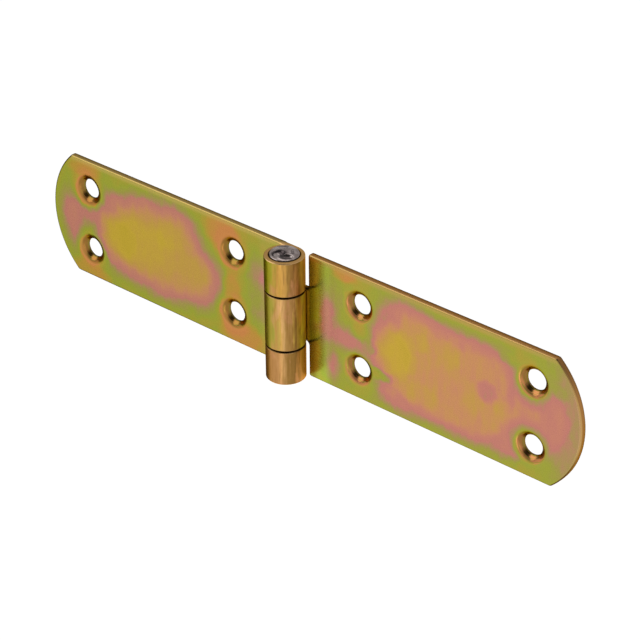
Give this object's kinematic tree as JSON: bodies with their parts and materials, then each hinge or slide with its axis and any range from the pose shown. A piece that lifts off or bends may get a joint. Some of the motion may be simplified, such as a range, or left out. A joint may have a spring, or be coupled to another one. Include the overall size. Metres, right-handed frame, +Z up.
{
  "type": "strap hinge",
  "caption": "Strap hinge with long round-nosed leaves of yellow-plated sheet steel, countersunk screw holes, and rolled knuckles that turn on a riveted pin.",
  "frame": {"origin": "middle of the hinge pin, on its axis", "axes": "+Z up along the pin, +X along the right (moving) leaf, +Y towards the flat backs of the leaves, where they are screwed on; knuckles and countersinks face -Y"},
  "size_m": [0.2, 0.0118, 0.0412],
  "materials": {
    "plated_leaf": "zinc plated with an iridescent yellow chromate film, semi-gloss",
    "bare_pin": "bare steel, burnished where it was riveted over"
  },
  "bodies": {
    "fixed_leaf": {"left_leaf": "plated_leaf", "hinge_pin": "bare_pin"},
    "moving_leaf": {"right_leaf": "plated_leaf"}
  },
  "joints": [
    {"name": "leaf_swing", "type": "hinge", "parent": "fixed_leaf", "child": "moving_leaf", "pos_m": [0, 0, 0], "axis": [0, 0, -1], "range_deg": [-70, 180]}
  ]
}
